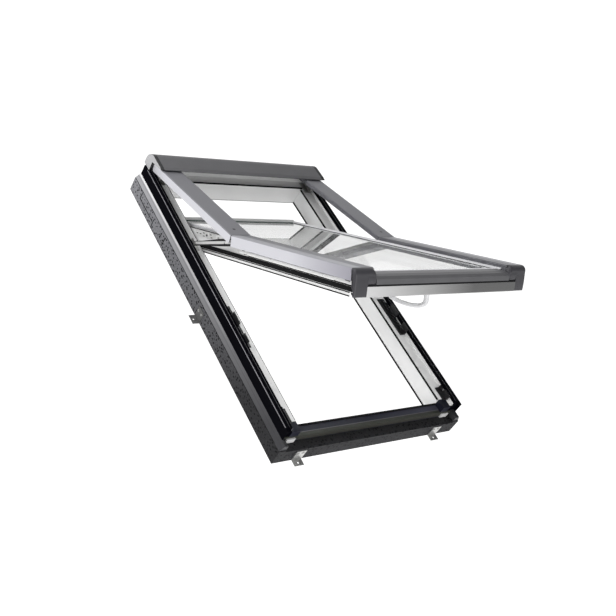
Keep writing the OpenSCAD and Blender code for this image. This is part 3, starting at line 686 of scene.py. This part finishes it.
# ---- Lips under the stiles ----
# A white lip of the same plastic as the profile runs along the room side of each stile.
# Two black sealing beads are pushed into its outer face.
lip_profile = [(296.4, -20.0), (299.4, -20.0), (299.8, -33.2), (297.0, -33.2)]
bead_heights = ((-23.0, -19.6), (-33.6, -29.4))
lip_ends, bead_ends = (-500.0, 420.0), (-498.0, 418.0)
for side, label in both_sides:
    rail("stile_lip_" + label, lip_profile, *lip_ends, on_sash, white_plastic, "sash",
         "white_plastic", side)
    for k, (low, high) in enumerate(bead_heights):
        bead = [(299.0, low), (300.6, low + 0.4), (301.0, (low + high) / 2),
                (300.6, high - 0.4), (299.0, high)]
        rail("lip_bead_%s_%d" % (label, k), bead, *bead_ends, on_sash, rubber, "sash",
             "black_rubber", side)

# ---- Joints under the side covers ----
# A dark joint lies between each side cover and the sash's flange, with small black
# guide blocks that keep the cover straight.
guide_places = ((-44, -30, 17.0, 22.0), (-122, -104, 18.0, 22.0), (-262, -246, 18.4, 22.0),
                (-536, -516, 16.6, 19.4))
cover_joint_ends, guide_depth = (-550.0, -18.0), (335.4, 337.4)
for side, label in both_sides:
    rail("cover_joint_" + label, oblong(335.3, 336.6, 19.4, 22.3), *cover_joint_ends, on_sash,
         rubber, "sash", "black_rubber", side)
    for k, (y0, y1, z0, z1) in enumerate(guide_places):
        guide = plate_rows(y0, y1, z0, z1, *guide_depth, corner=1.2)
        skin("guide_block_%s_%d" % (label, k), on_sash(guide * (side, 1, 1)), lock_black,
             "sash")

# ---- Edges of the jambs' covers ----
# The outer edge of each black cover is rolled over, and its top has a fine step. Both are
# painted lighter than the black coat: a painted highlight along the roll and along the step.
# The room-side edge of the frame has a black strip on the jambs and a pale one elsewhere.
cover_ends, jamb_ends, head_ends = (-552.0, 560.0), (-520.0, 526.0), (-305.4, 305.4)
room_profile = [(305.2, -75.0), (306.4, -75.2), (306.4, -67.6), (305.2, -68.0)]


def rod(radius):
    """Eight points on a circle of this radius, as offsets."""
    angle = np.linspace(0, 2 * math.pi, 8, endpoint=False) + math.pi / 8
    return np.stack([radius * np.cos(angle), radius * np.sin(angle)], -1)


# Painted highlight: the rolled edge is painted grey, lighter than the black coat.
rolled_edge_highlight = finish_material("rolled_edge_highlight", (0.15, 0.15, 0.165), (0.24, 0.24, 0.26),
                              scale=12.0, rough=(0.3, 0.42), grain_scale=900.0, bump=0.08)
# Painted highlight: the step is painted a little lighter than the black coat.
step_edge_highlight = finish_material("step_edge_highlight", (0.03, 0.03, 0.034), (0.07, 0.07, 0.075),
                            scale=12.0, rough=(0.3, 0.42), grain_scale=900.0, bump=0.08)
rolled_profile, step_profile = rod(1.3) + (369.3, 19.9), rod(0.7) + (354.5, 20.5)
for side, label in both_sides:
    rail("rolled_edge_highlight_" + label, rolled_profile, *cover_ends, on_roof, rolled_edge_highlight, "frame",
         "black_cover", side, crease=60.0)
    rail("step_edge_highlight_" + label, step_profile, *cover_ends, on_roof, step_edge_highlight, "frame",
         "black_cover", side, crease=60.0)
    edge = rail("room_edge_" + label, room_profile, *jamb_ends, on_roof, rubber, "frame",
                "black_rubber", side)
    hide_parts("room_seal")
pale_strip = finish_material("pale_strip", (0.42, 0.42, 0.42), (0.5, 0.5, 0.5), scale=20.0,
                             rough=(0.4, 0.5), bump=0.05)
bar("room_edge_head", oblong(525.6, 526.6, -74.8, -71.4), *head_ends, on_roof, pale_strip,
    "frame", "white_plastic")
bar("room_edge_sill", oblong(-521.6, -520.6, -74.8, -71.4), *head_ends, on_roof, pale_strip,
    "frame", "white_plastic")

# ---- Corners and skirt of the sill's cover ----
# Folded dark pieces wrap the lower ends of the jambs, and a narrow skirt closes the
# front of the sill's cover.
corner_ends, skirt_ends = (-558.2, -523.0), (-300.0, 352.0)
corner_coat = finish_material("corner_coat", (0.006, 0.007, 0.014), (0.012, 0.013, 0.024),
                              scale=7.0, rough=(0.25, 0.4), gloss=0.2, **sheet_grain)
for side, label in both_sides:
    rail("corner_cover_" + label, oblong(305.2, 337.2, -24.6, 0.4), *corner_ends, on_roof,
         corner_coat, "frame", "black_cover", side)
skirt_coat = finish_material("skirt_coat", (0.030, 0.031, 0.026), (0.050, 0.051, 0.044),
                             scale=9.0, rough=(0.4, 0.55), grain_scale=900.0, bump=0.1,
                             gloss=0.2)
bar("sill_skirt", oblong(-560.5, -559.0, -42.6, -26.4), *skirt_ends, on_roof, skirt_coat,
    "frame", "black_cover")

# ---- Joints in the foam ----
# The head's foam block laps over the side blocks. Thin black strips lie round the lap and
# below the collar as painted shade along the steps, and two short moulded slots under the
# lap are painted black as shade in their grooves.
foam_face, joint_proud, slot_proud = 381.2, 381.75, 381.8
lap_joints = ((513.0, 516.6, -71.0, -41.5), (392.4, 516.6, -74.2, -70.6),
              (391.2, 394.8, -97.5, -72.0))
moulded_slots, slot_half = ((323.0, -78.0, -54.0), (296.0, -88.0, -50.0)), 2.2
collar_ends = (-560.0, 588.0)
for side, label in both_sides:
    mirror = (side, 1, 1)
    for k, (y0, y1, z0, z1) in enumerate(lap_joints):
        joint = plate_rows(y0, y1, z0, z1, foam_face, joint_proud, corner=0.5)
        skin("foam_joint_shade_%s_%d" % (label, k), on_roof(joint * mirror), rubber, "frame")
    rail("collar_joint_shade_" + label, oblong(foam_face, slot_proud, -42.4, -39.8), *collar_ends,
         on_roof, rubber, "frame", "foam", side)
    for k, (y, z0, z1) in enumerate(moulded_slots):
        slot = plate_rows(y - slot_half, y + slot_half, z0, z1, foam_face, slot_proud,
                          corner=2.0)
        skin("foam_slot_shade_%s_%d" % (label, k), on_roof(slot * mirror), rubber, "frame")

# ---- Lock cases ----
# A low black case of moulded plastic joins the posts of each lock rail. It is clipped to
# the jamb, below the path of the studs.
lock_case = plate_rows(-236.0, -72.0, 2.6, 8.2, 339.0, 345.4, corner=2.0)
for side, label in both_sides:
    skin("lock_case_" + label, on_roof(lock_case * (side, 1, 1)), lock_black, "frame")

# ---- Screws in the arm covers ----
# One dark screw fixes each arm cover to its bar near the lower end. Its low round head
# is turned down at the edge and sinks a little in the middle.
arm_screw_place = (318.0, 62.0)


def on_arms(points):
    """Where points of the shut arms stand open: turned with them about their hinge."""
    return on_roof(opened(points, hinge_line, arms_open))


def turned_rows(place, radii, heights, count=20):
    """Circles about an upright line at a place in x and y: one radius at each height."""
    angle = np.linspace(0, 2 * math.pi, count, endpoint=False)
    r, z = np.asarray(radii, float)[:, None], np.asarray(heights, float)[:, None]
    return np.stack([place[0] + r * np.cos(angle), place[1] + r * np.sin(angle),
                     np.broadcast_to(z, (len(z), count))], -1)


arm_screw = turned_rows(arm_screw_place, radii=[5.2, 5.2, 4.2, 0.6],
                        heights=[58.0, 58.9, 59.2, 59.0])
for side, label in both_sides:
    skin("arm_screw_" + label, on_arms(arm_screw * (side, 1, 1)), lock_black, "arms")

# ---- Handle ----
# A one-piece plastic lever on a round neck, bowed away from the glass so that a hand
# fits round it. The neck turns in the base on the sash's bottom rail.
lever_corners = [(0, 0, -34.4), (0, 0, -44), (0, 0, -56), (-6, 0, -67), (-24, 0, -73),
                 (-52, 0, -74), (-86, 0, -68), (-112, 0, -58)]
neck_radius, grip_wider, grip_thinner = 8.0, 3.0, 1.6
neck_end, tip_start = 0.3, 0.94
lever_up, lever_swing = -503.0, math.radians(-62.0)


def smoothed(corners):
    """A path whose corners are cut three times: each span gives the two points a quarter
    and three quarters of the way along it, and the path's ends are kept."""
    path = np.array(corners, float)
    for _ in range(3):
        low, high = path[:-1], path[1:]
        cut = np.stack([0.75 * low + 0.25 * high, 0.25 * low + 0.75 * high], 1).reshape(-1, 3)
        path = np.concatenate([path[:1], cut, path[-1:]])
    return path


def lever_rows(path):
    """Ellipses across the path, then turned about the neck by the swing. Past the neck
    the half width grows by a half sine and the half thickness falls straight, and at the
    tip both shrink as the height of a quarter circle does."""
    run = np.linspace(0, 1, len(path))
    way = np.gradient(path, axis=0)
    way /= np.linalg.norm(way, axis=1)[:, None]
    across = np.tile([0.0, 1.0, 0.0], (len(path), 1))
    flat = np.cross(way, across)
    wide = neck_radius + grip_wider * np.sin(
        math.pi * np.clip((run - neck_end) / (1 - neck_end), 0, 1))
    thick = neck_radius - grip_thinner * np.clip((run - neck_end) / neck_end, 0, 1)
    tip = np.sqrt(1 - ((run - tip_start) / (1 - tip_start)).clip(0, 0.97) ** 2)
    ring = np.linspace(0, 2 * math.pi, 20, endpoint=False)
    rows = (path[:, None, :]
            + (wide * tip)[:, None, None] * np.cos(ring)[None, :, None] * across[:, None, :]
            + (thick * tip)[:, None, None] * np.sin(ring)[None, :, None] * flat[:, None, :])
    c, s = math.cos(lever_swing), math.sin(lever_swing)
    return np.stack([rows[..., 0] * c - rows[..., 1] * s,
                     rows[..., 0] * s + rows[..., 1] * c + lever_up, rows[..., 2]], -1)


grip_white = finish_material("grip_white", (0.50, 0.50, 0.51), (0.56, 0.56, 0.57), scale=20.0,
                             rough=(0.3, 0.4), bump=0.05)
lever = skin("lever", on_sash(lever_rows(smoothed(lever_corners))), grip_white, "handle",
             crease=60.0)
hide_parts("handle")
